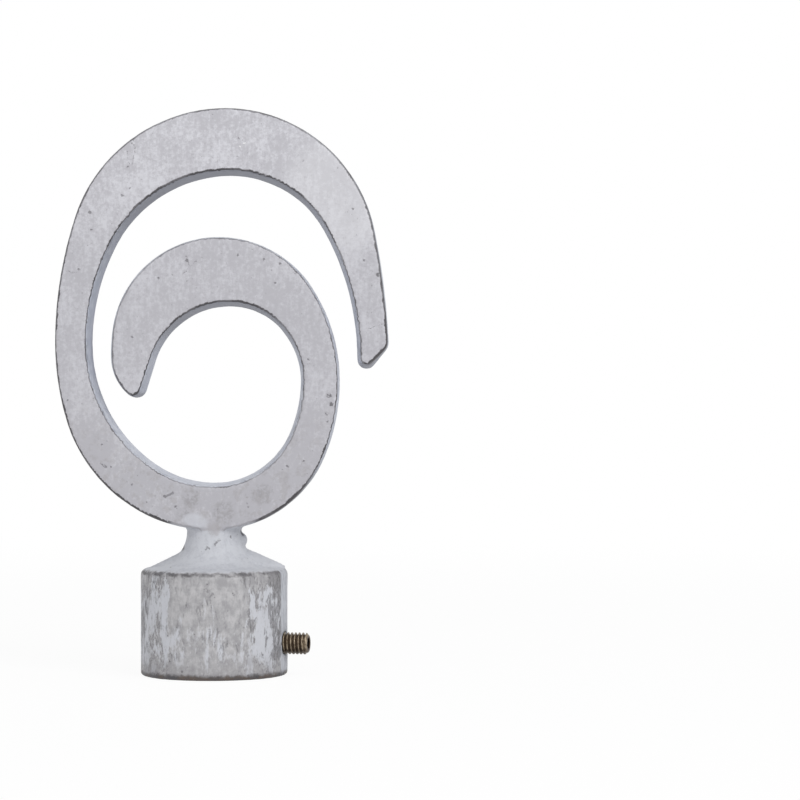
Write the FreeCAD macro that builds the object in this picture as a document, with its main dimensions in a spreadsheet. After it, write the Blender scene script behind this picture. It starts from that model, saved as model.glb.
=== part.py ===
import FreeCAD, Part
import math
import os
import re
import Sketcher

# Curtain pole finial: a sand-cast crook on a flared neck and a round collar that slips over the pole's end,
# held there by one grub screw through the collar's wall.
# Millimetres. The origin is the centre of the collar's mouth, +Z goes up the pole's axis, and the crook lies
# in the XZ plane, which is also the parting plane of the mould. Its front face looks towards -Y.

SIZES = {
    # Collar and its socket for the pole
    "pole_diameter": 19.0,
    "pole_clearance": 0.25,     # radial
    "collar_wall": 3.7,
    "collar_height": 19.5,
    "socket_depth": 16.5,
    "base_chamfer": 0.3,
    "rim_bevel": 0.7,
    # Neck, with a low rib each side where the two halves of the mould met
    "neck_diameter": 10.0,
    "neck_height": 7.0,
    "neck_overlap": 1.5,        # into the crook's foot
    "flare_radius": 6.5,
    "shoulder_slope": 8.0,      # degrees
    "seam_rib_width": 7.0,
    "seam_rib_draft": 22.0,     # degrees
    "right_rib_drop": 2.9,      # from the crook's foot to the rib's top
    "right_rib_rise": 0.6,      # above the collar's rim
    "left_rib_drop": 3.4,
    "left_rib_sink": 0.3,       # below the collar's rim
    "seam_rib_inset": 0.5,      # from the collar's side
    "flash_lump_radius": 1.4,   # a lump of flash on the right of the neck
    "flash_lump_drop": 1.8,     # from the crook's foot to the lump's middle
    # Crook: thickness and the edges of its two faces
    "bar_thickness": 10.0,
    "inner_draft": 7.0,         # degrees, on each side of the parting plane
    "outer_draft": 2.0,
    "face_edge": 0.3,           # bevel
    # Crook: bar widths and gaps from the foot to the top
    "foot_bar": 8.7,
    "eye_height": 32.4,
    "ring_crown": 12.7,
    "crown_gap": 11.3,
    "outer_crown": 12.2,
    # Crook: bar widths and gaps outwards from the collar's axis
    "ring_reach": 23.1,
    "ring_bar": 7.2,
    "arm_gap": 3.2,
    "arm_bar": 5.8,
    "curl_reach": 18.7,
    "left_gap": 3.7,
    "left_bar": 6.5,
    # Crook: how far the crowns, the eye and the foot stand to the right of the collar's axis
    "ring_crown_offset": 1.1,
    "hollow_crown_offset": 3.1,
    "outer_crown_offset": 2.3,
    "eye_offset": 2.9,
    "foot_offset": 0.1,
    # Crook: how far the widest place of each side stands above the bottom of the eye
    "left_rise": 25.6,
    "ring_rise": 18.6,
    "curl_rise": 23.0,
    # Crook: the pointed end of the inner curl
    "curl_end_radius": 9.1,
    "curl_end_turn": 50.0,      # degrees
    "curl_tip_round": 1.9,
    "eye_left_radius": 14.3,
    # Crook: the blunt end of the outer arm
    "arm_inner_rise": 22.6,
    "arm_outer_rise": 25.9,
    "arm_lean": 3.0,            # degrees from upright
    "arm_inner_round": 1.7,
    "arm_outer_round": 2.3,
    # Grub screw in the collar's wall
    "screw_diameter": 4.0,
    "screw_length": 8.0,
    "screw_height": 5.9,
    "screw_azimuth": 11.0,      # degrees from +X towards the front
    "screw_recess": 0.05,       # from the socket's wall to the screw's point
    "screw_clearance": 0.05,    # radial
    "hex_across_flats": 2.0,
    "hex_depth": 2.0,
    "head_chamfer": 0.35,
    "point_chamfer": 0.6,
}

# The turn of each quarter of the crook's two edges is shared between two arcs. More gives the first arc of
# the quarter a longer share.
INNER_SHARES = (0.55, 0.32, 0.32, 0.34, 0.58)
OUTER_SHARES = (0.06, 0.58, 0.29, 0.78, 0.25, 0.87)

doc = FreeCAD.newDocument("curtain_pole_finial")

sheet = doc.addObject("Spreadsheet::Sheet", "sizes")
for row, (alias, number) in enumerate(SIZES.items(), start=1):
    sheet.set("A%d" % row, alias)
    sheet.set("B%d" % row, str(number))
    sheet.setAlias("B%d" % row, alias)
doc.recompute()


def cells(formula):
    """A formula on the sheet's names, written as an expression on its cells."""
    return re.sub(r"[a-z]+(?:_[a-z]+)+", r"sizes.\g<0>", formula)


def value(formula):
    """What a formula on the sheet's names comes to now."""
    return float(sheet.evalExpression(cells(formula)))


def bind(thing, path, formula):
    """Binds a property or a named constraint to the sheet."""
    thing.setExpression(path, cells(formula))


def make_body(label):
    body = doc.addObject("PartDesign::Body", label)
    body.Label = label
    return body


def new_sketch(body, name, role):
    """An empty sketch on one of the body's own origin planes."""
    sketch = body.newObject("Sketcher::SketchObject", name)
    plane = [feature for feature in body.Origin.OriginFeatures if feature.Role == role][0]
    sketch.AttachmentSupport = [(plane, "")]
    sketch.MapMode = "FlatFace"
    return sketch


def place_point(sketch, geometry, position, name, across, up):
    """Holds a point of a sketch at two formulas, measured from the sketch's origin."""
    for kind, formula, tag in (("DistanceX", across, "_x"), ("DistanceY", up, "_y")):
        distance = value(formula)
        if distance < 0:
            sketch.addConstraint(Sketcher.Constraint(kind, geometry, position, -1, 1, -distance))
            formula = "-(%s)" % formula
        else:
            sketch.addConstraint(Sketcher.Constraint(kind, -1, 1, geometry, position, distance))
        sketch.renameConstraint(sketch.ConstraintCount - 1, name + tag)
        bind(sketch, "Constraints." + name + tag, formula)


def hold_size(sketch, kind, geometry, name, formula):
    """Holds a radius, or an arc's turn in degrees, at a formula."""
    number = value(formula)
    if kind == "Angle":
        number = math.radians(number)
        formula = "(%s) * 1 deg" % formula
    sketch.addConstraint(Sketcher.Constraint(kind, geometry, number))
    sketch.renameConstraint(sketch.ConstraintCount - 1, name)
    bind(sketch, "Constraints." + name, formula)


def draw_profile(sketch, corners):
    """A closed profile through named corners (name, across, up, round).

    A corner with a round formula begins an arc of that radius to the next corner, which bulges to the right
    of the way round. A round that starts with a minus sign bulges to the left.
    """
    count = len(corners)
    spots = [FreeCAD.Vector(value(across), value(up), 0) for name, across, up, bulge in corners]
    ends = []
    for number, (name, across, up, bulge) in enumerate(corners):
        start, stop = spots[number], spots[(number + 1) % count]
        if not bulge:
            geometry = sketch.addGeometry(Part.LineSegment(start, stop), False)
            ends.append((geometry, 1, 2))
            continue
        radius = value(bulge.lstrip("-"))
        chord = stop - start
        side = FreeCAD.Vector(-chord.y, chord.x, 0).normalize()
        if bulge.startswith("-"):
            side = side * -1
        centre = start + chord * 0.5 + side * math.sqrt(max(radius**2 - chord.Length**2 / 4, 0))
        angles = [math.atan2(spot.y - centre.y, spot.x - centre.x) for spot in (start, stop)]
        forwards = not bulge.startswith("-")
        if not forwards:
            angles.reverse()
        circle = Part.Circle(centre, FreeCAD.Vector(0, 0, 1), radius)
        geometry = sketch.addGeometry(Part.ArcOfCircle(circle, angles[0], angles[1]), False)
        ends.append((geometry, 1, 2) if forwards else (geometry, 2, 1))
    for number in range(count):
        geometry, first, last = ends[number]
        after, after_first, after_last = ends[(number + 1) % count]
        sketch.addConstraint(Sketcher.Constraint("Coincident", geometry, last, after, after_first))
    for number, (name, across, up, bulge) in enumerate(corners):
        geometry, first, last = ends[number]
        place_point(sketch, geometry, first, name, across, up)
        if bulge:
            hold_size(sketch, "Radius", geometry, name + "_radius", bulge.lstrip("-"))


# The crook's outline. Each edge runs clockwise through the places where it is upright or level. From one to
# the next, a quarter turn, it follows two arcs that touch.
EYE_BOTTOM = "(collar_height + neck_height + foot_bar)"
EYE_TOP = "(%s + eye_height)" % EYE_BOTTOM
RING_TOP = "(%s + ring_crown)" % EYE_TOP
HOLLOW_TOP = "(%s + crown_gap)" % RING_TOP
ARM_INSIDE = "(ring_reach + arm_gap)"
HOLLOW_LEFT = "(-curl_reach - left_gap)"

INNER_EDGE = (
    ("eye_top", "eye_offset", EYE_TOP),
    ("eye_right", "ring_reach - ring_bar", EYE_BOTTOM + " + ring_rise"),
    ("eye_foot", "foot_offset", EYE_BOTTOM),
    ("hollow_left", HOLLOW_LEFT, EYE_BOTTOM + " + left_rise"),
    ("hollow_top", "hollow_crown_offset", HOLLOW_TOP),
    ("arm_inside", ARM_INSIDE, EYE_BOTTOM + " + arm_inner_rise"),
)
OUTER_EDGE = (
    ("curl_left", "-curl_reach", EYE_BOTTOM + " + curl_rise"),
    ("ring_top", "ring_crown_offset", RING_TOP),
    ("ring_right", "ring_reach", EYE_BOTTOM + " + ring_rise"),
    ("foot", "foot_offset", "collar_height + neck_height"),
    ("left", HOLLOW_LEFT + " - left_bar", EYE_BOTTOM + " + left_rise"),
    ("top", "outer_crown_offset", HOLLOW_TOP + " + outer_crown"),
    ("arm_outside", ARM_INSIDE + " + arm_bar", EYE_BOTTOM + " + arm_outer_rise"),
)


def turned(heading, distance):
    """The step of a given length along a heading in degrees."""
    angle = math.radians(heading)
    return FreeCAD.Vector(distance * math.cos(angle), distance * math.sin(angle), 0)


def two_arcs(start, heading, stop, last_heading, share):
    """Radius and turn of two touching clockwise arcs from start to stop."""
    turn = heading - last_heading
    chord = stop - start
    lean = (heading - math.degrees(math.atan2(chord.y, chord.x)) + 180) % 360 - 180
    least = max(0.0, 2 * lean - turn)
    most = min(turn, 2 * lean)
    first = least + share * (most - least)
    # The two radii follow from the chord, which is the sum of the two arcs' own chords.
    steps = []
    for begin, end in ((heading, heading - first), (heading - first, last_heading)):
        steps.append(turned(end + 90, 1) - turned(begin + 90, 1))
    across = steps[0].x * steps[1].y - steps[0].y * steps[1].x
    first_radius = (chord.x * steps[1].y - chord.y * steps[1].x) / across
    last_radius = (steps[0].x * chord.y - steps[0].y * chord.x) / across
    return (first_radius, first), (last_radius, turn - first)


class Run:
    """One arc or straight line of the outline. An arc's turn is positive where it goes clockwise."""

    def __init__(self, start, heading, radius, turn, length=0):
        self.start = start
        self.heading = heading
        self.radius = radius
        self.turn = turn
        self.length = length

    def stop(self):
        if self.length:
            return self.start + turned(self.heading, self.length)
        side = -90 if self.turn > 0 else 90
        centre = self.start + turned(self.heading + side, self.radius)
        return centre - turned(self.heading - self.turn + side, self.radius)

    def backwards(self):
        return Run(self.stop(), self.heading - self.turn + 180, self.radius, -self.turn, self.length)

    def moved_in(self, inset):
        """The same run on an outline that lies inside this one. The metal is on the left of the way round."""
        start = self.start + turned(self.heading + 90, inset)
        return Run(start, self.heading, self.radius + math.copysign(inset, self.turn), self.turn, self.length)


def edge_runs(stations, heading, shares, last_turn):
    """The clockwise arcs of one edge through its stations, two for each quarter turn."""
    runs = []
    spots = [FreeCAD.Vector(value(across), value(up), 0) for name, across, up in stations]
    for number, share in enumerate(shares):
        turn = last_turn if number == len(shares) - 1 else 90.0
        place = spots[number]
        for radius, bend in two_arcs(place, heading, spots[number + 1], heading - turn, share):
            runs.append(Run(place, heading, radius, bend))
            place = runs[-1].stop()
            heading -= bend
    return runs


def touching_heading(centre, radius, other, other_radius):
    """Heading of the line that touches two circles. A radius is positive where its circle is on the left."""
    gap = other - centre
    return math.degrees(math.atan2(gap.y, gap.x) - math.asin((other_radius - radius) / gap.Length))


def outline_runs(inner_inset, outer_inset):
    """The crook's whole outline: inner edge, arm's end, outer edge backwards and the curl's pointed end.

    The insets move the two edges into the metal.
    """
    inner = edge_runs(INNER_EDGE, 360.0, INNER_SHARES, 90.0)
    inner = [run.moved_in(inner_inset) for run in inner]
    outer = edge_runs(OUTER_EDGE, 450.0, OUTER_SHARES, 90.0 - value("arm_lean"))
    outer = [run.backwards().moved_in(outer_inset) for run in reversed(outer)]

    # The arm's blunt end: a round corner, a straight cut and another round corner.
    inner_round = value("arm_inner_round") - inner_inset
    outer_round = value("arm_outer_round") - outer_inset
    inside = inner[-1].stop()
    outside = outer[0].start
    outside_heading = 90.0 + value("arm_lean")
    inner_centre = inside + turned(0, inner_round)
    outer_centre = outside + turned(outside_heading + 90, outer_round)
    cut = touching_heading(inner_centre, inner_round, outer_centre, outer_round)
    inner_corner = Run(inside, -90.0, inner_round, -(cut + 90.0))
    cut_stop = outer_centre + turned(cut - 90, outer_round)
    cut_line = Run(inner_corner.stop(), cut, 0, 0, (cut_stop - inner_corner.stop()).Length)
    outer_corner = Run(cut_stop, cut, outer_round, -(outside_heading - cut))

    # The curl's pointed end: a closing arc, the small round tip and a straight run into the eye.
    eye_radius = value("eye_left_radius") + inner_inset
    tip_round = value("curl_tip_round") - inner_inset
    end_turn = value("curl_end_turn")
    end_arc = Run(outer[-1].stop(), -90.0, value("curl_end_radius") - outer_inset, -end_turn)
    tip_heading = end_turn - 90.0
    tip_centre = end_arc.stop() + turned(tip_heading + 90, tip_round)
    eye_centre = inner[0].start - FreeCAD.Vector(0, eye_radius, 0)
    run = touching_heading(tip_centre, tip_round, eye_centre, -eye_radius)
    tip_arc = Run(end_arc.stop(), tip_heading, tip_round, -(run - tip_heading))
    run_stop = eye_centre + turned(run + 90, eye_radius)
    run_line = Run(tip_arc.stop(), run, 0, 0, (run_stop - tip_arc.stop()).Length)
    eye_arc = Run(run_stop, run, eye_radius, run)
    return inner + [inner_corner, cut_line, outer_corner] + outer + [end_arc, tip_arc, run_line, eye_arc]


def add_run(sketch, run):
    """Adds a run to a sketch. Returns it as (geometry, first end, last end)."""
    if run.length:
        return (sketch.addGeometry(Part.LineSegment(run.start, run.stop()), False), 1, 2)
    side = -90 if run.turn > 0 else 90
    centre = run.start + turned(run.heading + side, run.radius)
    angles = [math.atan2(spot.y - centre.y, spot.x - centre.x) for spot in (run.start, run.stop())]
    if run.turn > 0:
        angles.reverse()
    circle = Part.Circle(centre, FreeCAD.Vector(0, 0, 1), run.radius)
    geometry = sketch.addGeometry(Part.ArcOfCircle(circle, angles[0], angles[1]), False)
    return (geometry, 2, 1) if run.turn > 0 else (geometry, 1, 2)


def hold_station(sketch, piece, station, heading, inset):
    """Holds where a piece starts, at a station that the inset moves into the metal."""
    name, across, up = station
    geometry, first, last = piece
    if heading % 90:
        across += " - (%s) * cos(arm_lean)" % inset
        up += " - (%s) * sin(arm_lean)" % inset
    else:
        step = turned(heading + 90, 1)
        across += " + (%d) * (%s)" % (round(step.x), inset)
        up += " + (%d) * (%s)" % (round(step.y), inset)
        level = "Vertical" if heading % 180 == 0 else "Horizontal"
        sketch.addConstraint(Sketcher.Constraint(level, geometry, 3, geometry, first))
    place_point(sketch, geometry, first, name, across, up)


def draw_crook(sketch, inner_inset, outer_inset):
    """Draws the crook's outline, with its edges moved into the metal by two formulas."""
    runs = outline_runs(value(inner_inset), value(outer_inset))
    pieces = [add_run(sketch, run) for run in runs]
    for number, (geometry, first, last) in enumerate(pieces):
        after, after_first, after_last = pieces[(number + 1) % len(pieces)]
        sketch.addConstraint(Sketcher.Constraint("Tangent", geometry, last, after, after_first))

    corner = 2 * len(INNER_SHARES)
    outer = corner + 3
    for number, station in enumerate(INNER_EDGE):
        hold_station(sketch, pieces[2 * number], station, -90 * number, inner_inset)
    for number, station in enumerate(reversed(OUTER_EDGE)):
        heading = round(runs[outer + 2 * number].heading, 6)
        hold_station(sketch, pieces[outer + 2 * number], station, heading, outer_inset)
    # One arc of each quarter holds its turn. The last quarter of the outer edge holds both.
    for number in [*range(0, corner, 2), outer, *range(outer + 1, outer + 2 * len(OUTER_SHARES), 2)]:
        turn = math.radians(abs(runs[number].turn))
        sketch.addConstraint(Sketcher.Constraint("Angle", pieces[number][0], turn))

    end_arc, tip_arc, run_line, eye_arc = [geometry for geometry, first, last in pieces[-4:]]
    hold_size(sketch, "Radius", pieces[corner][0], "inner_corner", "arm_inner_round - (%s)" % inner_inset)
    hold_size(sketch, "Radius", pieces[corner + 2][0], "outer_corner", "arm_outer_round - (%s)" % outer_inset)
    hold_size(sketch, "Radius", end_arc, "curl_end", "curl_end_radius - (%s)" % outer_inset)
    hold_size(sketch, "Angle", end_arc, "curl_end_bend", "curl_end_turn")
    hold_size(sketch, "Radius", tip_arc, "curl_tip", "curl_tip_round - (%s)" % inner_inset)
    hold_size(sketch, "Radius", eye_arc, "eye_left", "eye_left_radius + (%s)" % inner_inset)


def make_crook(body):
    """The crook as a ruled loft: widest at the parting plane, drafted to the edges of its two faces."""
    edge = "(bar_thickness / 2 - face_edge)"
    sections = []
    for name, depth, inset in (
        ("back_face", "-bar_thickness / 2", "%s * tan(%s) + face_edge"),
        ("back_edge", "-" + edge, "%s * tan(%s)"),
        ("parting_outline", "0", ""),
        ("front_edge", edge, "%s * tan(%s)"),
        ("front_face", "bar_thickness / 2", "%s * tan(%s) + face_edge"),
    ):
        sketch = new_sketch(body, name, "XZ_Plane")
        bind(sketch, "AttachmentOffset.Base.z", depth)
        insets = [inset % (edge, draft) if inset else "0" for draft in ("inner_draft", "outer_draft")]
        draw_crook(sketch, *insets)
        sections.append(sketch)
    crook = body.newObject("PartDesign::AdditiveLoft", "crook")
    crook.Profile = sections[0]
    crook.Sections = sections[1:]
    crook.Ruled = True
    doc.recompute()


def tapered_pad(body, sketch, name, thickness, draft):
    """A pad on both sides of its sketch that narrows away from it."""
    pad = body.newObject("PartDesign::Pad", name)
    pad.Profile = sketch
    pad.SideType = "Two sides"
    for length, angle in (("Length", "TaperAngle"), ("Length2", "TaperAngle2")):
        bind(pad, length, thickness + " / 2")
        bind(pad, angle, "-" + draft)
    doc.recompute()
    return pad


def make_casting():
    body = make_body("crook_casting")

    make_crook(body)

    # Collar, shoulder, flare and neck in one turned profile. The flare touches the shoulder and the neck.
    radius = "(pole_diameter / 2 + pole_clearance + collar_wall)"
    neck = "(neck_diameter / 2)"
    flare_foot = neck + " + flare_radius * (1 - sin(shoulder_slope))"
    flare_drop = "flare_radius * cos(shoulder_slope)"
    rise = "(%s - rim_bevel - (%s)) * tan(shoulder_slope)" % (radius, flare_foot)
    neck_sketch = new_sketch(body, "collar_and_neck_profile", "XZ_Plane")
    draw_profile(neck_sketch, (
        ("base_centre", "0", "0", ""),
        ("base_edge", radius + " - base_chamfer", "0", ""),
        ("side_foot", radius, "base_chamfer", ""),
        ("side_top", radius, "collar_height - rim_bevel", ""),
        ("rim", radius + " - rim_bevel", "collar_height", ""),
        ("flare_foot", flare_foot, "collar_height + " + rise, "-flare_radius"),
        ("neck_foot", neck, "collar_height + %s + %s" % (rise, flare_drop), ""),
        ("neck_top", neck, "collar_height + neck_height + neck_overlap", ""),
        ("neck_centre", "0", "collar_height + neck_height + neck_overlap", ""),
    ))
    turned_part = body.newObject("PartDesign::Revolution", "collar_and_neck")
    turned_part.Profile = neck_sketch
    turned_part.ReferenceAxis = (neck_sketch, ["V_Axis"])

    # The rib that the parting plane leaves on both sides of the neck slopes off to the front and the back.
    rib_side = "(%s - seam_rib_inset)" % radius
    rib_foot = "(%s - seam_rib_inset / 5)" % radius
    rib_sketch = new_sketch(body, "seam_rib_outline", "XZ_Plane")
    foot = "collar_height + neck_height"
    draw_profile(rib_sketch, (
        ("left_foot", "-" + rib_foot, "collar_height - rim_bevel", ""),
        ("right_foot", rib_foot, "collar_height - rim_bevel", ""),
        ("right_rim", rib_side, "collar_height + right_rib_rise", ""),
        ("right_neck", neck, foot + " - right_rib_drop", ""),
        ("left_neck", "-" + neck, foot + " - left_rib_drop", ""),
        ("left_rim", "-" + rib_side, "collar_height - left_rib_sink", ""),
    ))
    tapered_pad(body, rib_sketch, "seam_rib", "seam_rib_width", "seam_rib_draft")

    lump = body.newObject("PartDesign::AdditiveSphere", "flash_lump")
    bind(lump, "Radius", "flash_lump_radius")
    bind(lump, "Placement.Base.x", neck + " - flash_lump_radius / 5")
    bind(lump, "Placement.Base.z", "collar_height + neck_height - flash_lump_drop")

    socket_sketch = new_sketch(body, "socket_profile", "XZ_Plane")
    bore = "(pole_diameter / 2 + pole_clearance)"
    draw_profile(socket_sketch, (
        ("mouth_centre", "0", "0", ""),
        ("mouth_edge", bore, "0", ""),
        ("bore_end", bore, "socket_depth", ""),
        ("end_centre", "0", "socket_depth", ""),
    ))
    socket = body.newObject("PartDesign::Groove", "socket")
    socket.Profile = socket_sketch
    socket.ReferenceAxis = (socket_sketch, ["V_Axis"])

    hole = body.newObject("PartDesign::SubtractiveCylinder", "screw_hole")
    bind(hole, "Radius", "screw_diameter / 2 + screw_clearance")
    bind(hole, "Height", radius + " + screw_length")
    put_on_screw_axis(hole, "0")
    doc.recompute()
    return body


def put_on_screw_axis(thing, distance):
    """Stands a thing on the screw's axis, so many millimetres from the pole's axis, with its Z outwards."""
    across = "(%s) * cos(screw_azimuth)" % distance
    forwards = "-(%s) * sin(screw_azimuth)" % distance
    place = "vector(%s; %s; screw_height)" % (across, forwards)
    bind(thing, "Placement", "placement(%s; rotation(-screw_azimuth; 90; 0))" % place)


def make_screw():
    """The grub screw: its point is at its own origin and its hex socket opens at the other end."""
    body = make_body("grub_screw")
    profile = new_sketch(body, "screw_profile", "XZ_Plane")
    draw_profile(profile, (
        ("point_centre", "0", "0", ""),
        ("point_edge", "screw_diameter / 2 - point_chamfer", "0", ""),
        ("shank_foot", "screw_diameter / 2", "point_chamfer", ""),
        ("shank_top", "screw_diameter / 2", "screw_length - head_chamfer", ""),
        ("head_edge", "screw_diameter / 2 - head_chamfer", "screw_length", ""),
        ("head_centre", "0", "screw_length", ""),
    ))
    shank = body.newObject("PartDesign::Revolution", "shank")
    shank.Profile = profile
    shank.ReferenceAxis = (profile, ["V_Axis"])

    socket = body.newObject("PartDesign::SubtractivePrism", "hex_socket")
    socket.Polygon = 6
    bind(socket, "Circumradius", "hex_across_flats / sqrt(3)")
    bind(socket, "Height", "hex_depth")
    bind(socket, "Placement.Base.z", "screw_length - hex_depth")
    put_on_screw_axis(body, "pole_diameter / 2 + pole_clearance + screw_recess")
    doc.recompute()
    return body


def check(bodies):
    """Stops before anything is written if an object failed or a body isn't one sound solid."""
    for thing in doc.Objects:
        bad = [word for word in thing.State if word in ("Invalid", "Error")]
        if bad:
            raise RuntimeError("%s is %s" % (thing.Label, bad))
    for body in bodies:
        shape = body.Shape
        if shape.isNull() or not shape.isValid() or len(shape.Solids) != 1:
            raise RuntimeError(body.Label + " isn't one sound solid")


def export(bodies):
    os.makedirs("parts", exist_ok=True)
    for body in bodies:
        body.Shape.exportStep("parts/%s.step" % body.Label)
        print("%s: %.1f mm3, %d faces" % (body.Label, body.Shape.Volume, len(body.Shape.Faces)))


pieces = [make_casting(), make_screw()]
check(pieces)
export(pieces)
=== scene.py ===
# %% [markdown]
# # A curtain pole finial in Blender
#
# The finial slips over the end of a curtain pole. It is one sand casting: a flat crook on a short flared neck,
# and below it a hollow collar with one grub screw. The casting was washed with white paint and then rubbed
# back, so the paint stays in the hollows and the metal shows where a hand or a brush reaches.
#
# The solids come from the CAD model as a fixed frame, in metres. This lesson dresses them: it gives the casting
# the soft, slightly lumpy skin that sand leaves, cuts a real thread on the screw, and makes the two finishes.
# Sizes are written in millimetres and multiplied by `MM`.

# %% Load the frame
import math

import bmesh
import bpy
import numpy as np
from mathutils import Matrix, Vector


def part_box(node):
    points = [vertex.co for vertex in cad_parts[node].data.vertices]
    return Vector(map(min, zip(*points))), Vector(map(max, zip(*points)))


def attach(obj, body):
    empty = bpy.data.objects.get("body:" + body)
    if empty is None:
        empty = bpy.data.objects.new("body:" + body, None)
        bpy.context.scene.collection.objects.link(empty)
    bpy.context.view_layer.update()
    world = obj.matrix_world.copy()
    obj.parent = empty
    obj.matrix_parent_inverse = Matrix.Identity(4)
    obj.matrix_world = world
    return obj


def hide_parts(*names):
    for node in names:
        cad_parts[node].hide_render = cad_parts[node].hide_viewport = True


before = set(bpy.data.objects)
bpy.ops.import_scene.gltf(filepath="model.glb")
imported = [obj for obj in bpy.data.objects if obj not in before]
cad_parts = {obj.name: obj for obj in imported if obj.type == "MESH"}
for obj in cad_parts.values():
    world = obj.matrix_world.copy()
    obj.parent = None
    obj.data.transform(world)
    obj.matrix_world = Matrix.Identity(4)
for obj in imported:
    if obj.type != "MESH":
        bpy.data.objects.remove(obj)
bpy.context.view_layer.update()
MM = 0.001

# %% [markdown]
# ## Making pieces
#
# Every piece ends as a plain mesh whose object sits at the origin, with its place in the mesh itself. Then a
# pattern that reads the piece's own coordinates can't slide. `bake_modifiers` reads the finished shape of an
# object with its modifiers, keeps that as the mesh, and takes the modifiers off.

# %% Helpers for pieces
def add_piece(name, mesh):
    piece = bpy.data.objects.new(name, mesh)
    bpy.context.scene.collection.objects.link(piece)
    return piece


def bake_modifiers(piece):
    bpy.context.view_layer.update()
    graph = bpy.context.evaluated_depsgraph_get()
    mesh = bpy.data.meshes.new_from_object(piece.evaluated_get(graph), depsgraph=graph)
    piece.modifiers.clear()
    piece.data = mesh
    mesh.name = piece.name
    mesh.update()
    return len(mesh.vertices)


def close_tree(wires, shape, material):
    """Ends a Geometry Nodes tree: real geometry only, with its material on it."""
    real = wires.node("GeometryNodeRealizeInstances", {}, {"Geometry": shape})
    dressed = wires.node("GeometryNodeSetMaterial", {}, {"Geometry": real, "Material": material})
    outlet = wires.tree.nodes.new("NodeGroupOutput")
    wires.tree.links.new(dressed.socket, outlet.inputs[0])


def add_group(piece, tree, values):
    """Puts a Geometry Nodes tree on a piece and sets its named inputs by their identifiers."""
    modifier = piece.modifiers.new(tree.name, "NODES")
    modifier.node_group = tree
    for item in tree.interface.items_tree:
        if item.item_type == "SOCKET" and item.in_out == "INPUT" and item.name in values:
            modifier[item.identifier] = values[item.name]


# %% [markdown]
# ## Node maths as Python
#
# Materials and Geometry Nodes are graphs. A long formula is hard to read as a list of nodes and links, so the
# class below wraps one output socket. Python's own operators then add the Math nodes, and `1 - mask` reads as
# it is meant. `node` adds any other node: its settings are set first, and then the values or links of its
# sockets.

# %% A socket that does arithmetic
class Wire:
    def __init__(self, tree, socket=None):
        self.tree = tree
        self.socket = socket

    def node(self, kind, settings, sockets, output=0):
        node = self.tree.nodes.new(kind)
        for name, setting in settings.items():
            setattr(node, name, setting)
        for name, given in sockets.items():
            if isinstance(given, Wire):
                self.tree.links.new(given.socket, node.inputs[name])
            else:
                node.inputs[name].default_value = given
        return Wire(self.tree, node.outputs[output])

    def math(self, operation, *values):
        kind = "ShaderNodeMath"
        return self.node(kind, {"operation": operation}, dict(enumerate(values)))

    def __add__(self, other):
        return self.math("ADD", self, other)

    def __sub__(self, other):
        return self.math("SUBTRACT", self, other)

    def __rsub__(self, other):
        return self.math("SUBTRACT", other, self)

    def __mul__(self, other):
        return self.math("MULTIPLY", self, other)

    def __truediv__(self, other):
        return self.math("DIVIDE", self, other)

    def __abs__(self):
        return self.math("ABSOLUTE", self)

    __radd__ = __add__
    __rmul__ = __mul__

    def clipped(self):
        return self.math("MINIMUM", self.math("MAXIMUM", self, 0.0), 1.0)

    def less(self, limit):
        return self.math("LESS_THAN", self, limit)

    def between(self, low, high):
        """0 at low, 1 at high, and a smooth step from one to the other."""
        settings = {"interpolation_type": "SMOOTHSTEP"}
        return self.node("ShaderNodeMapRange", settings, {0: self, 1: low, 2: high, 3: 0.0, 4: 1.0})

    def vector(self, operation, *values, output=0):
        return self.node("ShaderNodeVectorMath", {"operation": operation}, dict(enumerate(values)), output)

    def stretched(self, x, y, z):
        return self.vector("MULTIPLY", self, (x, y, z))

    def shifted(self, x, y, z):
        return self.vector("ADD", self, (x, y, z))

    def part(self, axis):
        return self.node("ShaderNodeSeparateXYZ", {}, {0: self}, "XYZ".index(axis))

    def noise(self, scale, detail=3.0, roughness=0.5, distortion=0.0, output=0):
        """Cloudy noise from 0 to 1 with a mean of a half. The wire is the place that it is read at."""
        sockets = {"Vector": self, "Scale": scale, "Detail": detail, "Roughness": roughness,
                   "Distortion": distortion}
        return self.node("ShaderNodeTexNoise", {}, sockets, output)


# %% [markdown]
# ## Colours
#
# Colours are written as they look on a screen, from 0 to 255, and turned into the linear values that the
# renderer adds up.

# %% Colour helpers
def shade(red, green, blue):
    def linear(channel):
        channel /= 255.0
        return channel / 12.92 if channel <= 0.04045 else ((channel + 0.055) / 1.055) ** 2.4
    return (linear(red), linear(green), linear(blue), 1.0)


def tint(under, over, amount):
    """Colour `under` covered by colour `over` where the amount is 1."""
    return amount.node("ShaderNodeMix", {"data_type": "RGBA"}, {0: amount, 6: under, 7: over}, 2)


def new_material(name):
    material = bpy.data.materials.new(name)
    material.use_nodes = True
    material.node_tree.nodes.clear()
    return material, Wire(material.node_tree)


def put_out(surface, kind="ShaderNodeOutputMaterial"):
    """Joins a shader to the output of its tree."""
    outlet = surface.tree.nodes.new(kind)
    surface.tree.links.new(surface.socket, outlet.inputs["Surface"])


def finish(wires, settings):
    """Adds the shader with its constants and its wires, and joins it to the output."""
    put_out(wires.node("ShaderNodeBsdfPrincipled", {}, settings))


def seen_or_mirrored(wires):
    """1 for the camera's rays and for rays that a mirror or glass sends on, and 0 for the light's."""
    rays = wires.tree.nodes.new("ShaderNodeLightPath")
    seen = Wire(wires.tree, rays.outputs["Is Camera Ray"])
    for name in ("Is Glossy Ray", "Is Transmission Ray"):
        seen = wires.math("MAXIMUM", seen, Wire(wires.tree, rays.outputs[name]))
    return seen


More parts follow.
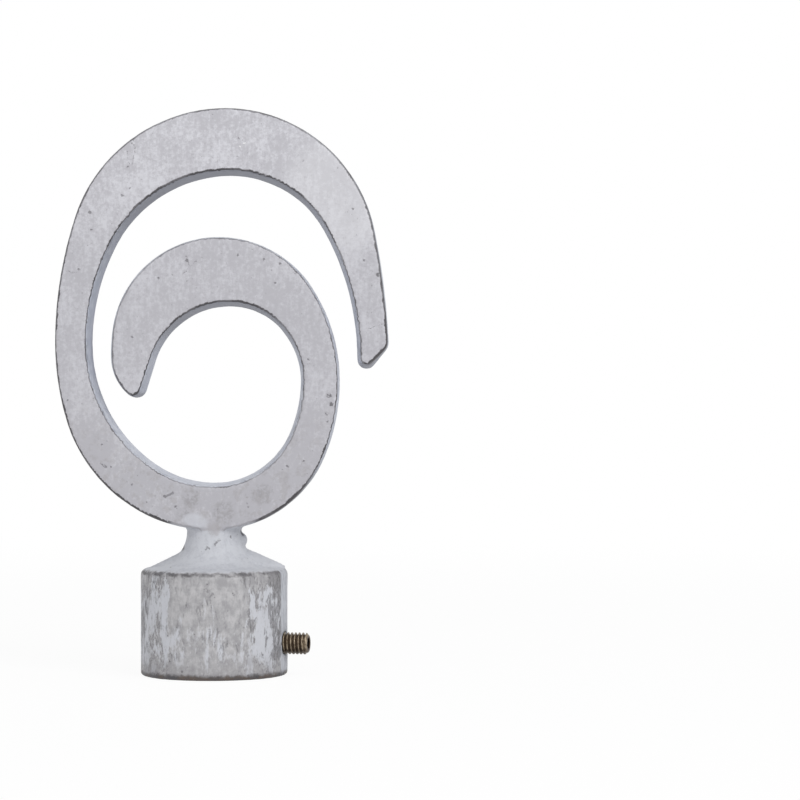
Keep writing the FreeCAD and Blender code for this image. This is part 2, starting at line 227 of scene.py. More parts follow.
# %% [markdown]
# ## The rubbed white finish
#
# On the real casting a cool white wash was painted over grey metal and then rubbed back. The wash stays whole
# on the neck and in other hollows, it is thin and cloudy on the two flat faces, and on the collar it is left
# only in streaks. Along the edges it is worn through to dark metal. Every layer below is a mask from 0 to 1 and
# every colour covers the one before it, in that order.
#
# The marks on the front face are listed one by one. `spot` is a round mark and `stroke` a straight one, and
# both are read at a place that noise has shifted a little, so no mark has a clean outline.

# %% Marks
def spot(place, centre, radius):
    """1 in the middle of a round mark and 0 from its radius on. All in millimetres."""
    return place.vector("DISTANCE", place, centre, output=1).between(radius, radius * 0.55)


def stroke(place, start, stop, width):
    """1 along the line from start to stop, and 0 a width away from it."""
    way = Vector(stop) - Vector(start)
    from_start = place.shifted(*(-part for part in start))
    share = from_start.vector("DOT_PRODUCT", from_start, tuple(way / way.length_squared), output=1).clipped()
    across = [share * part for part in way]
    nearest = share.node("ShaderNodeCombineXYZ", {}, dict(enumerate(across)))
    return place.vector("DISTANCE", from_start, nearest, output=1).between(width, width * 0.4)


def all_marks(place, kind, marks):
    """The strongest of several marks at each place."""
    strongest = None
    for mark in marks:
        made = kind(place, *mark)
        strongest = made if strongest is None else made.math("MAXIMUM", strongest, made)
    return strongest


# Where the front face shows single pits and chips, the ring's worn right edge, the fine crooked scratches, and
# the smears of dirt that stay round a thick patch of wash, the first of which is a painted shadow above and
# left of that patch. Then two specks of thick wash near the top.
FRONT = -5.0
PITS = (
    ((-16.4, FRONT, 87.7), 0.32), ((-22.4, FRONT, 84.6), 0.34), ((-15.1, FRONT, 89.0), 0.2),
    ((12.3, FRONT, 75.2), 0.28), ((17.5, FRONT, 57.8), 0.28), ((27.6, FRONT, 75.8), 0.26),
    ((-4.6, FRONT, 75.9), 0.4), ((-9.9, FRONT, 72.6), 0.26), ((-20.1, FRONT, 42.3), 0.3),
    ((9.4, FRONT, 76.0), 0.24), ((-14.6, FRONT, 97.2), 0.24), ((-15.4, FRONT, 92.9), 0.26),
    ((-8.7, FRONT, 32.8), 0.34), ((-6.7, FRONT, 31.0), 0.3), ((13.7, FRONT, 38.4), 0.34),
    ((-18.5, FRONT, 38.2), 0.24), ((-2.6, -6.4, 22.2), 0.34), ((2.2, -8.1, 21.4), 0.3),
    ((3.3, -3.9, 25.4), 0.28),
)
CHIPS = (
    ((30.1, FRONT, 73.2), 0.55), ((21.2, FRONT, 51.2), 0.62), ((21.6, FRONT, 49.6), 0.5),
    ((20.8, FRONT, 47.9), 0.42), ((11.0, FRONT, 78.6), 0.75), ((15.0, FRONT, 73.6), 0.3),
)
SCRATCHES = (
    ((-14.6, FRONT, 98.4), (-14.1, FRONT, 95.8), 0.14), ((-14.1, FRONT, 95.8), (-14.7, FRONT, 93.4), 0.12),
    ((-15.6, FRONT, 96.0), (-15.2, FRONT, 93.5), 0.1), ((-5.4, FRONT, 73.4), (-3.0, FRONT, 75.7), 0.13),
    ((-4.8, FRONT, 76.6), (-4.2, FRONT, 74.9), 0.16), ((-26.6, FRONT, 73.8), (-24.9, FRONT, 73.6), 0.16),
    ((28.4, FRONT, 63.4), (31.3, FRONT, 64.4), 0.1), ((-8.5, FRONT, 32.9), (-7.2, FRONT, 33.5), 0.3),
    ((-1.4, -5.5, 24.2), (-1.1, -5.6, 23.1), 0.2), ((-1.4, -5.6, 23.2), (-0.5, -5.6, 23.1), 0.2),
    ((-1.3, -5.5, 24.0), (-0.6, -5.6, 23.3), 0.18), ((0.3, -5.4, 23.9), (1.3, -5.1, 25.0), 0.3),
    ((-20.3, FRONT, 38.8), (-19.4, FRONT, 38.2), 0.3),
)
NECK_CHIPS = (((-5.8, -3.0, 23.3), (-5.8, 0.6, 23.3), 0.7), ((4.6, -0.8, 26.6), (5.3, -0.8, 25.7), 0.42))
SMEARS_AND_SHADOW = (
    ((-5.3, FRONT, 29.8), 1.4), ((-3.9, FRONT, 32.4), 2.2), ((2.0, FRONT, 29.8), 2.6),
    ((9.0, FRONT, 33.2), 2.4),
)
WHITE_SPECKS = (((5.8, FRONT, 97.2), 0.3), ((5.0, FRONT, 96.6), 0.2))

# %% Material: rubbed white casting
CROOK_MIDDLE = (1.6, 65.0)      # across and up, in millimetres
CROOK_REACH = (30.0, 38.8)      # from that middle to the outline
SCREW_SIDE = 92.0               # degrees round the collar from the front to the middle of the seam's strip
COLLAR_RIM = 19.3
DRIFT_DEGREES = 34.0            # how far noise shifts the collar's patches round it


def rubbed_white():
    material, wires = new_material("rubbed_white_casting")

    def stored(name, output):
        return wires.node("ShaderNodeAttribute", {"attribute_name": name}, {}, output)

    # Places and gaps are read in millimetres.
    place = stored("cast_point", 1).stretched(1.0 / MM, 1.0 / MM, 1.0 / MM)
    way = stored("edge_way", 1)
    gap = stored("edge_gap", 2) * (1.0 / MM)
    x, y, z = place.part("X"), place.part("Y"), place.part("Z")
    depth = abs(y)

    # Clouds and streaks that several layers share, and places shifted by noise for ragged outlines.
    clouds = place.noise(0.13, 3.0, 0.6)
    mottle = place.shifted(31.0, 7.0, 3.0).noise(0.6, 5.0, 0.65)
    grain = place.shifted(3.0, 17.0, 5.0).noise(1.7, 4.0, 0.7)
    brushed = place.stretched(1.0, 1.0, 0.16).noise(1.3, 3.0, 0.65, 0.3)
    ragged = place.shifted(5.0, 1.0, 2.0).noise(0.9, 5.0, 0.7) - 0.5
    shaken = place.noise(1.6, 3.0, 0.6, output=1).shifted(-0.5, -0.5, -0.5)
    loose = place.vector("ADD", place, shaken.stretched(2.4, 2.4, 2.4))
    shaken = place.vector("ADD", place, shaken.stretched(0.9, 0.9, 0.9))

    # Where on the casting this is. `gap` is about 0.15 where the bevel leaves the wall and 0.54 on the face.
    crook = (z + ragged * 0.8).between(26.2, 26.7)
    face = gap.between(0.12, 0.3) * crook
    collar = (z + ragged * 1.1).between(COLLAR_RIM + 0.25, COLLAR_RIM - 0.15)
    above = way.part("Z")
    below = 0.0 - above
    leftwards = (0.0 - way.part("X")).between(0.2, 0.7)
    by_neck = abs(x).between(9.0, 6.5) * z.between(30.0, 28.8)
    span = wires.node("ShaderNodeCombineXYZ", {}, {
        0: (x - CROOK_MIDDLE[0]) / CROOK_REACH[0], 1: 0.0, 2: (z - CROOK_MIDDLE[1]) / CROOK_REACH[1]})
    outer = wires.vector("LENGTH", span, output=1).between(0.9, 0.95) * crook * (1.0 - by_neck)

    # The face of the crook: thin wash, with fine grain and a brush's faint marks. It is mottled and dirtier
    # towards the neck, painted darker lower down as painted shade, and brightest at the top right with a
    # painted highlight.
    low_down = z.between(58.0, 32.0)
    thin = clouds * 0.3 + mottle * (0.2 + low_down * 0.4) + grain * 0.5 + brushed * 0.25
    thin = thin - low_down * 0.25
    face_colour = tint(shade(183, 182, 188), shade(208, 208, 214), thin.between(0.54, 0.75))
    # Painted shade: the face is darker from the top of the crook down.
    face_colour = tint(face_colour, shade(164, 163, 169), z.between(100.0, 66.0) * 0.3)
    # Painted highlight: a soft light patch at the top right.
    face_colour = tint(face_colour, shade(216, 216, 220), spot(loose, (23.0, FRONT, 88.0), 13.0) * 0.4)
    face_colour = tint(face_colour, shade(160, 157, 160), mottle.between(0.48, 0.62) * low_down * 0.6)
    freckles = grain.between(0.36, 0.3) * mottle.between(0.42, 0.56)
    face_colour = tint(face_colour, shade(146, 144, 149), freckles * 0.5)
    # The first smear is a painted shadow beside the half-moon; the others are dirt.
    smeared_and_shaded = all_marks(loose, spot, SMEARS_AND_SHADOW) * grain.between(0.4, 0.6)
    face_colour = tint(face_colour, shade(146, 144, 147), smeared_and_shaded * 0.6)

    # The walls keep more of the wash, cool and patchy. The sides that look up are painted lighter, as painted
    # light, and the sides that look down darker, as painted shade. The outline's own walls are dirty beside the
    # two faces.
    patchy = place.noise(0.5, 4.0, 0.65)
    # Painted light: walls that look up get more of the light wash.
    wall_colour = tint(shade(180, 184, 196), shade(199, 202, 211), (patchy + above * 0.12).between(0.4, 0.66))
    # Painted shade: walls that look down are darker.
    wall_colour = tint(wall_colour, shade(138, 139, 147), below.between(0.15, 0.85) * 0.8 * (1.0 - by_neck))
    wall_streak = place.stretched(0.5, 1.6, 0.5).noise(0.9, 4.0, 0.7).between(0.5, 0.64)
    wall_streak = depth.between(3.0, 4.6) * wall_streak
    wall_colour = tint(wall_colour, shade(120, 122, 130), wall_streak * 0.55 * (1.0 - by_neck))

    outer_dirt = outer * (depth + ragged * 5.0).between(2.2, 4.6)
    outer_dirt = outer_dirt * (mottle * 0.5 + grain * 0.5).between(0.36, 0.56)
    wall_colour = tint(wall_colour, shade(112, 109, 111), outer_dirt * 0.7)

    # The neck's wash is whole, with faint clouds and a few fine pits.
    neck_colour = tint(shade(182, 184, 191), shade(197, 199, 205), (thin + 0.1).between(0.5, 0.75))
    wall_colour = tint(wall_colour, neck_colour, by_neck)

    colour = tint(wall_colour, face_colour, face)
    colour = tint(neck_colour, colour, crook)

    # The half-moon of thicker wash at the crook's foot, and the bare patch next to it.
    tilted = wires.node("ShaderNodeCombineXYZ", {}, {0: x * 0.55, 1: y, 2: z + x * 0.15 + ragged * 0.6})
    moon = spot(tilted, (-1.7, FRONT, 27.95), 1.6)
    colour = tint(colour, shade(200, 202, 209), moon * (0.35 + grain * 0.6))
    bared = spot(loose, (0.2, FRONT, 26.9), 1.6) * grain.between(0.3, 0.5)
    colour = tint(colour, shade(168, 165, 168), bared * 0.6)

    # The collar. Its angle is 0 at the front and 90 degrees at the screw's side. The wash stays in two tall
    # patches beside the front and in streaks below it, and the front's upper half is rubbed bare. `raw` says
    # how much wash there is, and a dark border runs where it ends.
    drift = place.stretched(1.0, 1.0, 0.4).noise(0.5, 4.0, 0.7) - 0.5
    true_angle = wires.math("ARCTAN2", x, 0.0 - y) * (180.0 / math.pi)
    angle = true_angle + drift * DRIFT_DEGREES
    left_zone = angle.between(-30.0, -38.0)
    right_zone = angle.between(26.0, 34.0)
    sides = (left_zone + right_zone).clipped()
    upper = z.between(7.5, 11.5)
    streaks = place.stretched(1.0, 1.0, 0.22).noise(0.34, 5.0, 0.66, 0.6)
    fine = place.shifted(8.0, 8.0, 1.0).stretched(1.0, 1.0, 0.4).noise(1.0, 4.0, 0.75)
    raw = streaks * 0.6 + fine * 0.4 + sides * 0.04 - upper * (1.0 - sides) * 0.08
    raw = raw - (z + drift * 6.0).between(14.5, 17.5) * 0.1 - (z + drift * 8.0).between(4.5, 1.0) * 0.11
    wash = raw.between(0.472, 0.575 - sides * 0.035)
    bare = tint(shade(158, 157, 160), shade(188, 187, 189), (mottle * 0.5 + fine * 0.5).between(0.38, 0.6))
    collar_colour = tint(bare, shade(198, 200, 207), wash * (0.62 + grain * 0.5).clipped())
    border = (1.0 - abs(raw - 0.472) * 34.0).clipped() * grain.between(0.36, 0.52)
    collar_colour = tint(collar_colour, shade(116, 114, 118), border * (0.2 + sides * 0.65))

    # Dark patches that were never cleaned: beside the seam's strip, at the far left and under the rim.
    dirt = place.shifted(9.0, 4.0, 11.0).stretched(1.0, 1.0, 0.35).noise(0.9, 5.0, 0.75, 0.4)
    beside_strip = angle.between(48.0, 55.0) * angle.between(150.0, 138.0) * z.between(2.0, 5.0)
    far_left = angle.between(-58.0, -64.0) * angle.between(-100.0, -90.0)
    far_left = far_left * z.between(3.0, 6.0) * z.between(18.5, 14.0)
    under_rim = z.between(16.2, 18.0) * abs(angle + 4.0).between(22.0, 36.0)
    dirt = dirt + beside_strip * 0.18 + far_left * 0.1 + under_rim * 0.06 + left_zone * 0.03
    dirt = (dirt + grain * 0.15 - 0.075).between(0.56, 0.68)
    dirt_colour = tint(shade(84, 83, 86), shade(132, 131, 134), grain.between(0.38, 0.58))
    collar_colour = tint(collar_colour, dirt_colour, dirt * (0.5 + fine * 0.6).clipped())
    smudged = (z + drift * 8.0).between(5.0, 1.5) * (fine * 0.6 + grain * 0.4).between(0.4, 0.56)
    collar_colour = tint(collar_colour, shade(138, 136, 139), smudged * 0.6)

    # Inside, the socket is bare metal that the brush never reached. The mask reads the square of the radius.
    inside = (x * x + y * y).between(150.0, 125.0)
    socket_colour = tint(shade(112, 110, 112), shade(138, 136, 138), mottle.between(0.4, 0.6))
    collar_colour = tint(collar_colour, socket_colour, inside)

    # At the screw's side the mould's seam was never rubbed: a smooth strip of wash with a straight edge.
    strip = abs(true_angle + ragged * 2.0 - SCREW_SIDE).between(24.5, 23.0)
    strip_colour = tint(shade(164, 166, 174), shade(190, 193, 200), fine.between(0.35, 0.6))
    # Painted shade: a dark line down the middle of the strip, where the collar's right side turns from view.
    strip_middle_shade = (1.0 - abs(true_angle - SCREW_SIDE) * 0.12).clipped()
    strip_colour = tint(strip_colour, shade(112, 113, 118), strip_middle_shade * 0.8)
    collar_colour = tint(collar_colour, strip_colour, strip * 0.92)
    colour = tint(colour, collar_colour, collar)

    # Dark worn lines: the border of the crook's faces, the collar's rim and its base. The border lies on the
    # bevel, on the outline also on the wall beside it, and it is widest and darkest on the undersides, where
    # that extra width and darkness is painted shade.
    kept = place.shifted(50.0, 0.0, 9.0).noise(0.35, 4.0, 0.6).between(0.4, 0.6)
    starts = (gap - 0.12).between(-0.05, 0.05)
    starts = starts.math("MAXIMUM", starts, outer * (depth + ragged).between(3.7, 4.5))
    underside = below.between(0.2, 0.9) * (1.0 - leftwards * 0.7)
    last = 0.36 + leftwards * (1.0 - outer) * 0.06 + underside * 0.16 + ragged * (0.3 + kept * 0.5)
    line = (gap - last).between(0.05, -0.05) * starts * crook
    # Painted shade: the line is darker where the wall looks down.
    strength = 0.45 + below.between(-0.8, 0.4) * 0.4 + kept * 0.3
    strength = strength - leftwards * (1.0 - outer) * 0.25
    line = line * strength * (1.0 - by_neck * 0.8)
    rim = (z + ragged * 1.5).between(18.4, 18.9) * (z + ragged * 1.2).between(19.45, 19.1)
    rim = rim * (0.25 + kept * 0.75) * (1.0 - strip)
    base = (z + ragged * 1.6).between(1.3, 0.5)
    wear_and_painted_light = wires.math("MAXIMUM", line + rim * 0.85, base * 0.95).clipped()
    dark = tint(shade(76, 74, 77), shade(90, 79, 72), base * kept)
    colour = tint(colour, dark, wear_and_painted_light)

    # Pits: many fine ones in the metal, of which only a share of the pattern's cells has one, then the single
    # marks.
    pits = []
    for per_mm, radius, share, shift in ((0.42, 0.11, 0.7, 0.0), (1.1, 0.15, 0.84, 40.0)):
        sockets = {"Vector": shaken.shifted(shift, 3.0, 8.0), "Scale": per_mm}
        near = wires.node("ShaderNodeTexVoronoi", {}, sockets)
        pick = wires.node("ShaderNodeTexVoronoi", {}, sockets, 1).part("X")
        pits.append(near.between(radius, radius * 0.5) * pick.between(share, share + 0.02))
    pitted = (pits[0] * 0.8 + pits[1] * 0.55).clipped()
    for mark in (
        all_marks(shaken, spot, PITS) * 0.8,
        all_marks(shaken, spot, CHIPS) * grain.between(0.4, 0.5),
        all_marks(shaken, stroke, SCRATCHES) * grain.between(0.38, 0.52) * 0.75,
        all_marks(place, stroke, NECK_CHIPS),
    ):
        pitted = wires.math("MAXIMUM", pitted, mark)
    colour = tint(colour, shade(92, 90, 93), pitted * 0.85)
    colour = tint(colour, shade(226, 226, 228), all_marks(shaken, spot, WHITE_SPECKS))

    relief = mottle * 0.02 + grain * 0.015 - pitted * 0.08 + wash * collar * 0.03
    normal = wires.node("ShaderNodeBump", {}, {"Strength": 0.5, "Distance": MM, "Height": relief})
    finish(wires, {
        "Base Color": colour,
        "Roughness": (0.64 - wear_and_painted_light * 0.12).clipped(),
        "Metallic": (wear_and_painted_light * 0.3 + collar * (1.0 - wash) * 0.15).clipped(),
        "Normal": normal,
    })
    return material


# %% [markdown]
# ## The casting's skin
#
# Real sand castings have no dead flat face and no sharp edge: the mould's sand leaves low lumps and a fine
# grain. There are three ways to get that. A bump map only changes the shading, so the outline would stay
# perfect. Sculpting is slow to change. A voxel remesh of the CAD solid gives an even net of small quads, and
# that net can be moved by noise, so the light and the outline both show the lumps. Three modifiers do it, in
# this order: `melt` makes the net, `soften` rounds its edges and `sand_skin` moves its points.

# %% Copy the casting's solid
VOXEL = 0.35 * MM


def merged_copy(node):
    """A copy of a CAD node's mesh with its loose triangles joined."""
    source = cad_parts[node]
    mesh = source.data.copy()
    net = bmesh.new()
    net.from_mesh(mesh)
    bmesh.ops.remove_doubles(net, verts=net.verts, dist=0.002 * MM)
    net.to_mesh(mesh)
    net.free()
    mesh.materials.clear()
    return mesh


casting = add_piece("finial_casting", merged_copy("crook_casting"))
print("casting, triangles joined:", len(casting.data.vertices), "points")

# %% [markdown]
# The sand's tree first stores what the material needs to know about the true shape, before any point moves:
# each point's place, how far it is from the nearest wall of the crook, and which way that wall looks. The
# finish is worn most along edges, and differently on the edges that look down, so the material reads these
# three. A shader alone can't know them on a flat face. Then the tree moves each point along its normal by two
# noises of different size, but not at the base, which stands flat.

# %% Geometry Nodes: sand
FACE_DEPTH = 5.0 * MM           # from the middle of the crook to each face
BEVEL_START = 0.45 * MM         # how far behind the face the walls count as walls
CROOK_FOOT = 26.5 * MM


def sand_tree():
    tree = bpy.data.node_groups.new("sand_skin", "GeometryNodeTree")
    tree.interface.new_socket("Geometry", in_out="OUTPUT", socket_type="NodeSocketGeometry")
    tree.interface.new_socket("Geometry", in_out="INPUT", socket_type="NodeSocketGeometry")
    for name in ("Lump height", "Lumps per metre", "Grain height", "Grains per metre"):
        tree.interface.new_socket(name, in_out="INPUT", socket_type="NodeSocketFloat")
    tree.interface.new_socket("Material", in_out="INPUT", socket_type="NodeSocketMaterial")
    wires = Wire(tree)
    inlet = tree.nodes.new("NodeGroupInput")
    shape, lump, lumps, grain, grains, material = [Wire(tree, socket) for socket in inlet.outputs[:6]]
    place = wires.node("GeometryNodeInputPosition", {}, {})
    normal = wires.node("GeometryNodeInputNormal", {}, {})

    # The walls are what lies behind the bevels of the two faces and above the neck.
    on_wall = abs(place.part("Y")).less(FACE_DEPTH - BEVEL_START) * (1.0 - place.part("Z").less(CROOK_FOOT))
    walls = wires.node("GeometryNodeSeparateGeometry", {"domain": "FACE"},
                       {"Geometry": shape, "Selection": on_wall})
    near = {"Geometry": walls, "Sample Position": place}
    gap = wires.node("GeometryNodeProximity", {"target_element": "FACES"}, near, 1)
    nearest = wires.node("GeometryNodeProximity", {"target_element": "FACES"}, near, 0)
    towards = wires.vector("SUBTRACT", nearest, place)
    outwards = wires.vector("ADD", towards, normal.stretched(MM, MM, MM)).stretched(1.0, 0.0, 1.0)
    outwards = wires.vector("NORMALIZE", outwards)

    kept = shape
    for name, kind, given in (("cast_point", "FLOAT_VECTOR", place), ("edge_way", "FLOAT_VECTOR", outwards),
                              ("edge_gap", "FLOAT", gap)):
        kept = wires.node("GeometryNodeStoreNamedAttribute", {"data_type": kind, "domain": "POINT"},
                          {"Geometry": kept, "Name": name, "Value": given})

    low = place.noise(lumps, 2.0)
    fine = place.noise(grains, 2.0)
    height = (low - 0.5) * lump * 2.0 + (fine - 0.5) * grain * 2.0
    height = height * place.part("Z").between(0.2 * MM, 1.5 * MM)
    step = normal.node("ShaderNodeVectorMath", {"operation": "SCALE"}, {0: normal, "Scale": height})
    moved = wires.node("GeometryNodeSetPosition", {}, {"Geometry": kept, "Offset": step})
    close_tree(wires, moved, material)
    return tree


melt = casting.modifiers.new("melt", "REMESH")
melt.mode = "VOXEL"
melt.voxel_size = VOXEL
melt.use_smooth_shade = True
soften = casting.modifiers.new("soften", "SMOOTH")
soften.factor = 0.5
soften.iterations = 2
add_group(casting, sand_tree(), {
    "Lump height": 0.09 * MM,
    "Lumps per metre": 140.0,
    "Grain height": 0.03 * MM,
    "Grains per metre": 900.0,
    "Material": rubbed_white(),
})
count = bake_modifiers(casting)
triangles = sum(len(face.vertices) - 2 for face in casting.data.polygons)
print("casting skin:", count, "points,", triangles, "triangles")

# %% [markdown]
# ## The screw's axis
#
# The tapped hole goes through the collar's wall a little towards the front of its right side. Everything on the
# screw is measured from its point along this axis, so the axis comes first.

# %% The screw's axis
AZIMUTH = math.radians(-11.0)   # from the finial's right side towards the front
POINT_REACH = 9.8 * MM          # from the collar's axis to the screw's point

low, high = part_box("grub_screw")
outwards = Vector((math.cos(AZIMUTH), math.sin(AZIMUTH), 0.0))
point_at = outwards * POINT_REACH + Vector((0.0, 0.0, (low.z + high.z) / 2))
print("screw's point in mm:", [round(part / MM, 2) for part in point_at])

# %% [markdown]
# ## The bronzed screw
#
# The screw's bronze finish is dark in the roots of the thread, and worn to a tan colour on the crests, which is
# partly a painted highlight. How far a point is from the screw's axis says which it is, so the wear needs no
# paint.

# %% Material: bronzed screw
def bronzed():
    material, wires = new_material("bronzed_screw")
    place = wires.node("ShaderNodeTexCoord", {}, {}, 3).stretched(1.0 / MM, 1.0 / MM, 1.0 / MM)
    from_point = place.shifted(*(-point_at / MM))
    along = from_point.vector("DOT_PRODUCT", from_point, tuple(outwards), output=1)
    length = from_point.vector("LENGTH", from_point, output=1)
    radius = wires.math("SQRT", wires.math("MAXIMUM", length * length - along * along, 0.0))

    # The crests are worn tan, most of all at the head, and this is partly a painted highlight. The underside is
    # painted darker, and the top a little, as painted shade. The hexagon's inside is painted black as painted
    # shade.
    screw_blotches = place.noise(1.6, 4.0, 0.6)
    head = along.between(7.2, 7.5)
    # The tan crests are wear and partly a painted highlight.
    crest = (radius + (screw_blotches - 0.5) * 0.25 + head * 0.3).between(1.6, 1.98)
    wear_and_painted_light = crest * screw_blotches.between(0.3, 0.6)
    colour = tint(shade(82, 67, 53), shade(160, 146, 126), wear_and_painted_light)
    # Painted shade: darker on the screw's underside and a little on top.
    up = from_point.part("Z") + (screw_blotches - 0.5) * 0.8
    underside_and_top_shade = up.between(-0.5, -1.3) + up.between(1.1, 1.9) * 0.4
    colour = tint(colour, shade(56, 45, 37), underside_and_top_shade.clipped() * 0.7)
    # Painted shade: the socket's inside is painted black.
    socket = along.between(7.97, 7.85) * radius.between(1.25, 1.15)
    colour = tint(colour, shade(12, 10, 9), socket)
    relief = {"Strength": 0.3, "Distance": 0.05 * MM, "Height": screw_blotches}
    finish(wires, {
        "Base Color": colour,
        "Metallic": 0.75 + socket * 0.25,
        "Roughness": 0.5 - crest * 0.12,
        "Normal": wires.node("ShaderNodeBump", {}, relief),
    })
    return material


# %% [markdown]
# ## The grub screw
#
# An M4 set screw is a rod with a thread along its whole length, a hexagon socket in its outer end and a bevel
# on both ends. A thread is a rule, so Geometry Nodes suit it: a flat grid is rolled into a tube, and each
# point's radius follows how far it is along the pitch. The bevels are a cone that the radius may not pass.

# %% Geometry Nodes: thread
THREAD_RADIUS = 2.0 * MM
THREAD_DEPTH = 0.43 * MM
PITCH = 0.7 * MM
SCREW_LENGTH = 8.0 * MM
POINT_RADIUS = 1.35 * MM
HEAD_RADIUS = 1.55 * MM
AROUND = 72                     # quads round the screw
ALONG = 180                     # quads along it
JOIN = 0.001 * MM               # points closer than this are one


def thread_tree():
    tree = bpy.data.node_groups.new("thread", "GeometryNodeTree")
    tree.interface.new_socket("Geometry", in_out="OUTPUT", socket_type="NodeSocketGeometry")
    for name in ("Radius", "Depth", "Pitch", "Length", "Point radius", "Head radius"):
        tree.interface.new_socket(name, in_out="INPUT", socket_type="NodeSocketFloat")
    tree.interface.new_socket("Material", in_out="INPUT", socket_type="NodeSocketMaterial")
    wires = Wire(tree)
    inlet = tree.nodes.new("NodeGroupInput")
    radius, depth, pitch, length, point, head, material = [Wire(tree, socket) for socket in inlet.outputs[:7]]
    counts = {"Vertices X": AROUND + 1, "Vertices Y": ALONG + 1}
    grid = wires.node("GeometryNodeMeshGrid", {}, {"Size X": 1.0, "Size Y": 1.0, **counts})
    place = wires.node("GeometryNodeInputPosition", {}, {})
    turn = place.part("X") + 0.5
    along = (place.part("Y") + 0.5) * length
    phase = wires.math("FRACT", along / pitch - turn + 4.0)
    crest = ((1.0 - abs(phase * 2.0 - 1.0)) * 1.5 - 0.22).clipped()
    reach = radius - depth * (1.0 - crest)
    reach = wires.math("MINIMUM", reach, point + along)
    reach = wires.math("MINIMUM", reach, head + (length - along))
    angle = turn * math.tau
    across = wires.math("COSINE", angle) * reach
    up = wires.math("SINE", angle) * reach
    target = wires.node("ShaderNodeCombineXYZ", {}, {0: across, 1: up, 2: along})
    rolled = wires.node("GeometryNodeSetPosition", {}, {"Geometry": grid, "Position": target})
    closed = wires.node("GeometryNodeMergeByDistance", {}, {"Geometry": rolled, "Distance": JOIN})
    close_tree(wires, closed, material)
    return tree


screw = add_piece("socket_set_screw", bpy.data.meshes.new("socket_set_screw"))
add_group(screw, thread_tree(), {
    "Radius": THREAD_RADIUS,
    "Depth": THREAD_DEPTH,
    "Pitch": PITCH,
    "Length": SCREW_LENGTH,
    "Point radius": POINT_RADIUS,
    "Head radius": HEAD_RADIUS,
    "Material": bronzed(),
})
print("thread:", bake_modifiers(screw), "points")

# %% [markdown]
# The two ends are closed by rings of points at the same angles as the grid's, so every ring joins the next
# without a gap. A ring can be a circle or a hexagon: a hexagon's edge is nearer to its middle by the cosine of
# the angle to the nearest flat. The drill leaves a shallow cone at the bottom of the socket.

# %% Close the screw's ends
HEX_FLATS = 2.0 * MM            # across the flats
HEX_DEPTH = 2.0 * MM


def ring_spot(number, apothem, height, six_sided):
    angle = math.tau * number / AROUND
    reach = apothem
    if six_sided:
        reach = apothem / math.cos((angle + math.pi / 6) % (math.pi / 3) - math.pi / 6)
    return (reach * math.cos(angle), reach * math.sin(angle), height)


def close_end(net, rings, centre):
    loops = []
    for apothem, height, six_sided in rings:
        loops.append([net.verts.new(ring_spot(n, apothem, height, six_sided)) for n in range(AROUND)])
    for lower, upper in zip(loops, loops[1:]):
        for n in range(AROUND):
            after = (n + 1) % AROUND
            net.faces.new((lower[n], lower[after], upper[after], upper[n]))
    middle = net.verts.new((0, 0, centre))
    for n in range(AROUND):
        net.faces.new((loops[-1][n], loops[-1][(n + 1) % AROUND], middle))


net = bmesh.new()
net.from_mesh(screw.data)
flat = HEX_FLATS / 2
floor = SCREW_LENGTH - HEX_DEPTH
close_end(net, ((POINT_RADIUS, 0.0, False), (0.8 * MM, 0.0, False), (0.7 * MM, 0.12 * MM, False)), 0.25 * MM)
close_end(net, (
    (HEAD_RADIUS, SCREW_LENGTH, False),
    (HEAD_RADIUS - 0.12 * MM, SCREW_LENGTH, False),
    (flat + 0.10 * MM, SCREW_LENGTH - 0.01 * MM, True),
    (flat, SCREW_LENGTH - 0.12 * MM, True),
    (flat, floor, True),
    (flat * 0.9, floor - 0.02 * MM, False),
), floor - 0.5 * MM)
bmesh.ops.remove_doubles(net, verts=net.verts, dist=JOIN)
bmesh.ops.recalc_face_normals(net, faces=net.faces)

# The screw is stood in its tapped hole, with its point by the socket's wall.
turned = Vector((0.0, 0.0, 1.0)).rotation_difference(outwards).to_matrix().to_4x4()
bmesh.ops.transform(net, matrix=Matrix.Translation(point_at) @ turned, verts=net.verts)
for face in net.faces:
    face.material_index = 0
net.to_mesh(screw.data)
net.free()
bronze = [material for material in screw.data.materials if material]
screw.data.materials.clear()
screw.data.materials.append(bronze[0])
screw.data.polygons.foreach_set("use_smooth", [True] * len(screw.data.polygons))
screw.data.update()
uses = np.bincount([loop.edge_index for loop in screw.data.loops])
print("screw:", len(screw.data.polygons), "faces, edges that aren't shared by two:", int((uses != 2).sum()))

# %% [markdown]
# ## Which body carries each piece
#
# The casting is the fixed body. The screw rides on the body that slides along the tapped hole.

# %% Replace and ride
for piece, node, body, slot in (
    (casting, "crook_casting", "casting", "rubbed_white_casting"),
    (screw, "grub_screw", "set_screw", "bronzed_screw"),
):
    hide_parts(node)
    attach(piece, body)
    print(piece.name, "rides on", body)

# %% [markdown]
# ## Floor, light and camera
#
# The finial stands on a white sheet in soft light. The sheet and the world look white to the camera and in
# reflections, and the sheet still keeps a little of its own shading, so that the finial's shadow stays.

# %% World
AMBIENT = 0.55      # the strength of the light from all sides
WHITE = (1.0, 1.0, 1.0, 1.0)

world = bpy.data.worlds.new("studio")
bpy.context.scene.world = world
world.use_nodes = True
world.node_tree.nodes.clear()
sky = Wire(world.node_tree)
strength = AMBIENT + seen_or_mirrored(sky) * (1.0 - AMBIENT)
put_out(sky.node("ShaderNodeBackground", {}, {"Color": WHITE, "Strength": strength}), "ShaderNodeOutputWorld")

# %% Floor
SHEET_REACH = 40.0          # metres from the middle to each edge
KEPT_SHADE = 0.07           # how much of the sheet's own shading the camera sees near the finial
NEAR, FAR = 0.12, 0.5       # metres from the finial between which that shading fades

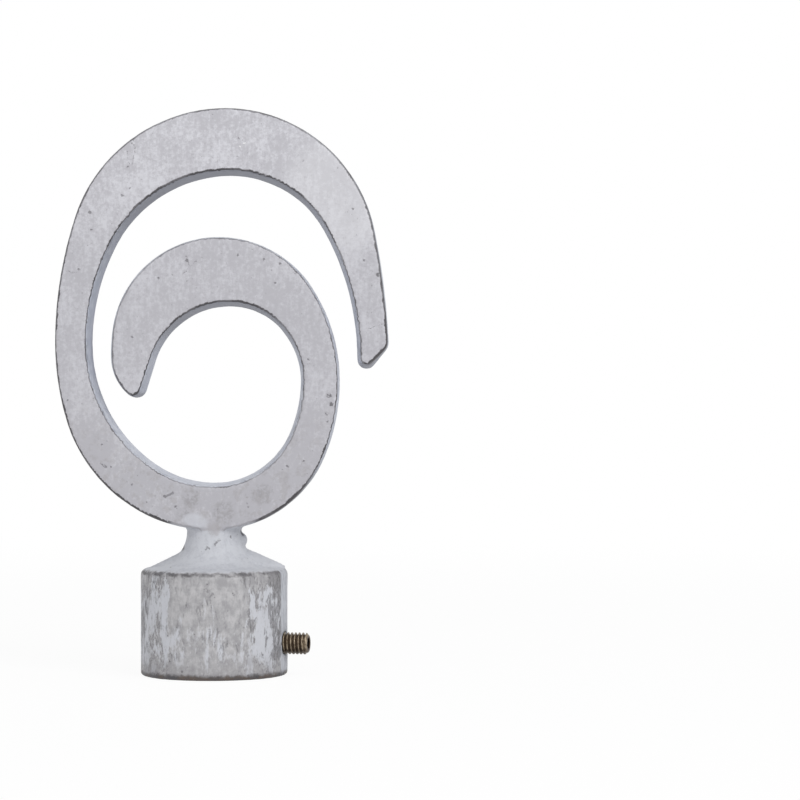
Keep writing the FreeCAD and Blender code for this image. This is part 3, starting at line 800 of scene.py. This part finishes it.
net = bmesh.new()
bmesh.ops.create_grid(net, x_segments=2, y_segments=2, size=SHEET_REACH)
sheet_mesh = bpy.data.meshes.new("paper_sheet")
net.to_mesh(sheet_mesh)
net.free()
sheet = add_piece("paper_sheet", sheet_mesh)
paper, wires = new_material("white_paper")
dull = wires.node("ShaderNodeBsdfDiffuse", {}, {"Color": (0.95, 0.95, 0.95, 1.0)})
white = wires.node("ShaderNodeEmission", {}, {"Color": WHITE, "Strength": 1.0})
place = wires.node("ShaderNodeTexCoord", {}, {}, 3)
away = wires.vector("LENGTH", place, output=1).between(NEAR, FAR)
whiteness = seen_or_mirrored(wires) * ((1.0 - KEPT_SHADE) + away * KEPT_SHADE)
put_out(wires.node("ShaderNodeMixShader", {}, {0: whiteness, 1: dull, 2: white}))
sheet_mesh.materials.append(paper)


# %% Lamps
def add_lamp(name, place, aim, size, power):
    lamp = bpy.data.lights.new(name, "AREA")
    lamp.shape = "SQUARE"
    lamp.size = size
    lamp.energy = power
    item = bpy.data.objects.new(name, lamp)
    item.location = place
    item.rotation_euler = (Vector(aim) - Vector(place)).to_track_quat("-Z", "Y").to_euler()
    bpy.context.scene.collection.objects.link(item)


FINIAL_MIDDLE = (0.0, 0.0, 0.055)
add_lamp("key", (0.42, -0.5, 0.62), aim=FINIAL_MIDDLE, size=0.5, power=3.4)
add_lamp("fill", (-0.5, -0.6, 0.3), aim=FINIAL_MIDDLE, size=0.6, power=0.9)

# %% [markdown]
# The camera stands half a metre in front, level with the middle of the finial and a little to its right. Its
# lens is long, so the walls of the crook hardly spread.

# %% Camera
FIELD = math.radians(16.55)     # of view, across the picture
CAMERA_AT = (34.16 * MM, -506.0 * MM, 50.4 * MM)

view = bpy.data.cameras.new("camera")
view.sensor_width = 36.0
view.lens = view.sensor_width / 2 / math.tan(FIELD / 2)
camera = bpy.data.objects.new("camera", view)
camera.location = CAMERA_AT
camera.rotation_euler = (math.radians(90.0), 0.0, 0.0)
view.clip_start = 0.01
bpy.context.scene.collection.objects.link(camera)
bpy.context.scene.camera = camera
bpy.context.scene.view_settings.view_transform = "Standard"
